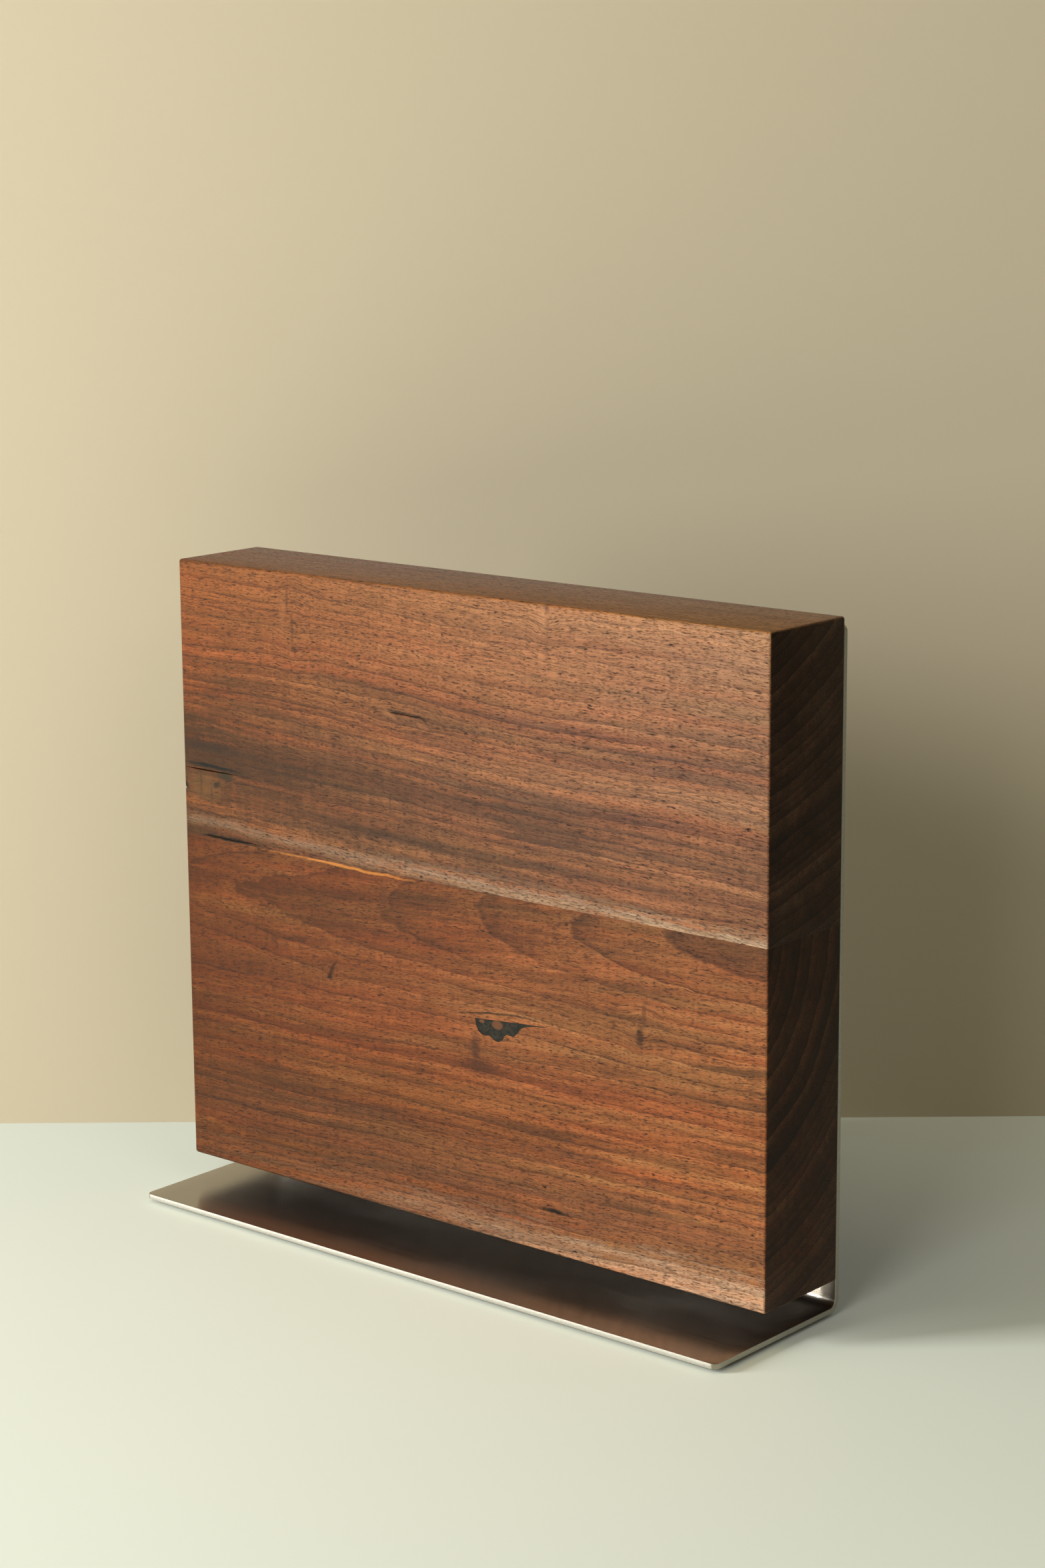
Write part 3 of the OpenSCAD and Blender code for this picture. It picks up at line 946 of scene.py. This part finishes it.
def paint_hidden_parts():
    """Materials for the CAD nodes that stay as they are."""
    nickel = turned_metal("magnet_nickel", linear(196, 192, 184), 0.25)
    plug = plain_wood("plug_walnut", linear(128, 84, 58), linear(84, 54, 38), (1.5, 0.04, 1.5))
    beech = plain_wood("dowel_beech", linear(206, 172, 126), linear(176, 138, 94), (1.5, 1.5, 0.05))
    brass = turned_metal("insert_brass", linear(206, 168, 92), 0.3)
    screw = turned_metal("screw_steel", linear(176, 174, 170), 0.28)
    paints = [("upper_magnet_", nickel), ("lower_magnet_", nickel), ("upper_plug_", plug),
              ("lower_plug_", plug), ("joint_dowels", beech), ("threaded_inserts", brass),
              ("stand_screws", screw)]
    for prefix, material in paints:
        for node in nodes_named(prefix):
            for slot in bpy.data.objects[node].material_slots:
                slot.material = material


# ---------------------------------------------------------------- stage, light and camera

# The camera
HEADING = math.radians(40.3)          # it looks this far round from straight at the face
PITCH = math.radians(12.1)            # and this far down
ROLL = math.radians(-0.4)
CAMERA_PLACE = Vector((0.821, -0.938, 0.460))     # metres
LENS = 75.3                           # mm, for a picture 36 mm high
SENSOR = 36.0

# The floor and the wall, in metres
FLOOR_REACH = 20.0                    # from the origin to each side
WALL_REACH = 4.0                      # to each side, and up
WALL_DISTANCE = 0.174                 # from the origin, along the camera's heading

# The light
WHITE = (0.98, 1.0, 1.01)
WALL_LIGHT = (1.0, 0.90, 0.54)        # what the wall throws back
ROOM_LIGHT = (1.0, 0.98, 0.93, 1.0)   # what comes from all round
ROOM_STRENGTH = 0.10
KEY = {"turn": -78, "rise": 14, "distance": 1.8, "size": (0.45, 0.9), "power": 48.0}


def plane(name, corners, material):
    """A flat stage piece; its corners run anticlockwise as seen from its front."""
    shape = bmesh.new()
    shape.faces.new([shape.verts.new(corner) for corner in corners])
    piece = new_piece(name, shape, material, smooth=False)
    piece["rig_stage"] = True
    return piece


def stage_paint(name, colour):
    """Flat paint with very faint clouding."""
    s = Shader(name)
    cloud = s.noise(s.millimetres(), (0.002, 0.002, 0.002), 2.0)
    level = s.scale(cloud, 0.3, 0.7, 0.98, 1.02)
    return s.finish(Base_Color=s.brighten(colour, level), Roughness=0.85, Specular_IOR_Level=0.2)


def see_through_from_behind(material):
    """Clears the back of the floor or wall, so that the object can be seen from that side."""
    tree = material.node_tree
    output = tree.nodes["Material Output"]
    clear = tree.nodes.new("ShaderNodeBsdfTransparent")
    choose = tree.nodes.new("ShaderNodeMixShader")
    behind = tree.nodes.new("ShaderNodeNewGeometry").outputs["Backfacing"]
    tree.links.new(behind, choose.inputs[0])
    tree.links.new(tree.nodes["Principled BSDF"].outputs[0], choose.inputs[1])
    tree.links.new(clear.outputs[0], choose.inputs[2])
    tree.links.new(choose.outputs[0], output.inputs["Surface"])


def camera_axes():
    """Level directions away from the camera and to its right, and straight up."""
    away = Vector((-math.sin(HEADING), math.cos(HEADING), 0.0))
    side = Vector((math.cos(HEADING), math.sin(HEADING), 0.0))
    return away, side, Vector((0.0, 0.0, 1.0))


def build_stage():
    """A pale floor and a beige wall square to the camera; gives the floor back, for its own lamp."""
    far = FLOOR_REACH
    floor_paint = stage_paint("floor_paint", linear(231, 234, 220))
    see_through_from_behind(floor_paint)
    floor = plane("floor", [(-far, -far, 0), (far, -far, 0), (far, far, 0), (-far, far, 0)],
                  floor_paint)

    away, side, up = camera_axes()
    left = away * WALL_DISTANCE - side * WALL_REACH
    right = away * WALL_DISTANCE + side * WALL_REACH
    wall_paint = stage_paint("wall_paint", linear(204, 189, 160))
    see_through_from_behind(wall_paint)
    wall = plane("wall", [left, right, right + up * WALL_REACH, left + up * WALL_REACH], wall_paint)
    wall.visible_shadow = False           # the lamps for the back of the block shine through it
    wall.visible_diffuse = False          # a lamp stands in for the light it throws back
    return floor


def softbox(name, turn, rise, distance, size, power, colour=WHITE):
    """A soft light aimed at the block; turn is degrees right of the camera, rise is degrees up."""
    away, side, up = camera_axes()
    turn = math.radians(turn)
    rise = math.radians(rise)
    flat = side * math.sin(turn) - away * math.cos(turn)
    middle = Vector((0.0, 0.0, TOP_Z / 2))
    place = middle + (flat * math.cos(rise) + up * math.sin(rise)) * distance
    light = bpy.data.lights.new(name, "AREA")
    light.shape = "RECTANGLE"
    light.size, light.size_y = size
    light.energy = power
    light.color = colour
    lamp = bpy.data.objects.new(name, light)
    lamp.location = place
    lamp.rotation_euler = (middle - place).to_track_quat("-Z", "Y").to_euler()
    bpy.context.scene.collection.objects.link(lamp)
    return lamp


def share_light(lamp, pieces, state):
    """Makes a light reach only these pieces (state INCLUDE) or all but these (EXCLUDE)."""
    group = bpy.data.collections.new(lamp.name + "_group")
    for piece in pieces:
        group.objects.link(piece)
    for member in group.collection_objects:
        member.light_linking.link_state = state
    lamp.light_linking.receiver_collection = group


def light_room(floor, wood):
    """The weak light from all round, and the soft lamps that fill the shadows."""
    world = bpy.data.worlds.new("studio")
    world.use_nodes = True
    backdrop = world.node_tree.nodes["Background"]
    backdrop.inputs["Color"].default_value = ROOM_LIGHT
    backdrop.inputs["Strength"].default_value = ROOM_STRENGTH
    bpy.context.scene.world = world
    softbox("fill", turn=-25, rise=26, distance=1.8, size=(0.6, 0.6), power=7.0)
    room = softbox("room", turn=30, rise=42, distance=1.8, size=(0.8, 0.8), power=2.5)
    share_light(room, wood, "EXCLUDE")

    # The wall would throw light back on the floor; a lamp does that evenly on both sides of it
    bounce = softbox("bounce", turn=-60, rise=60, distance=2.2, size=(1.6, 1.6), power=12.5,
                     colour=WALL_LIGHT)
    share_light(bounce, [floor], "INCLUDE")


def light_object(wood, stand):
    """The key light from the left, and the lamps that only some pieces see."""
    # The key is doubled so that the wood takes only its diffuse light; its sheen has its own light
    key = softbox("key", **KEY)
    share_light(key, wood, "EXCLUDE")
    wood_key = softbox("wood_key", **KEY)
    wood_key.visible_glossy = False
    share_light(wood_key, wood, "INCLUDE")
    sheen = softbox("sheen", turn=-60, rise=10, distance=1.6, size=(0.5, 0.5), power=12.0)
    sheen.visible_diffuse = False
    share_light(sheen, wood, "INCLUDE")

    # A wide, weak panel round the key shows only in the steel, mostly in the upright below the block
    glow = softbox("glow", turn=-80, rise=12, distance=1.8, size=(1.3, 1.0), power=6.0)
    glow.visible_diffuse = False
    share_light(glow, [stand], "INCLUDE")

    # Two lamps for the back and the far end, which the camera does not see; none of it on the stage
    for name, turn in [("behind", 180), ("beside", 228)]:
        lamp = softbox(name, turn=turn, rise=3, distance=1.8, size=(0.7, 0.7), power=6.0)
        share_light(lamp, [piece for piece in bpy.data.objects if "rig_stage" not in piece], "INCLUDE")


def build_camera():
    """The camera looks down at the block's face from its right; colours are shown as they are lit."""
    data = bpy.data.cameras.new("camera")
    data.lens = LENS
    data.sensor_width = SENSOR
    camera = bpy.data.objects.new("camera", data)
    look = (Matrix.Rotation(HEADING, 4, "Z")
            @ Matrix.Rotation(math.radians(90) - PITCH, 4, "X")
            @ Matrix.Rotation(ROLL, 4, "Z"))
    camera.matrix_world = Matrix.Translation(CAMERA_PLACE) @ look
    bpy.context.scene.collection.objects.link(camera)
    bpy.context.scene.camera = camera
    bpy.context.scene.view_settings.view_transform = "Standard"


wood = build_planks()
stand = build_stand()
build_pads()
paint_hidden_parts()
floor = build_stage()
light_room(floor, wood)
light_object(wood, stand)
build_camera()
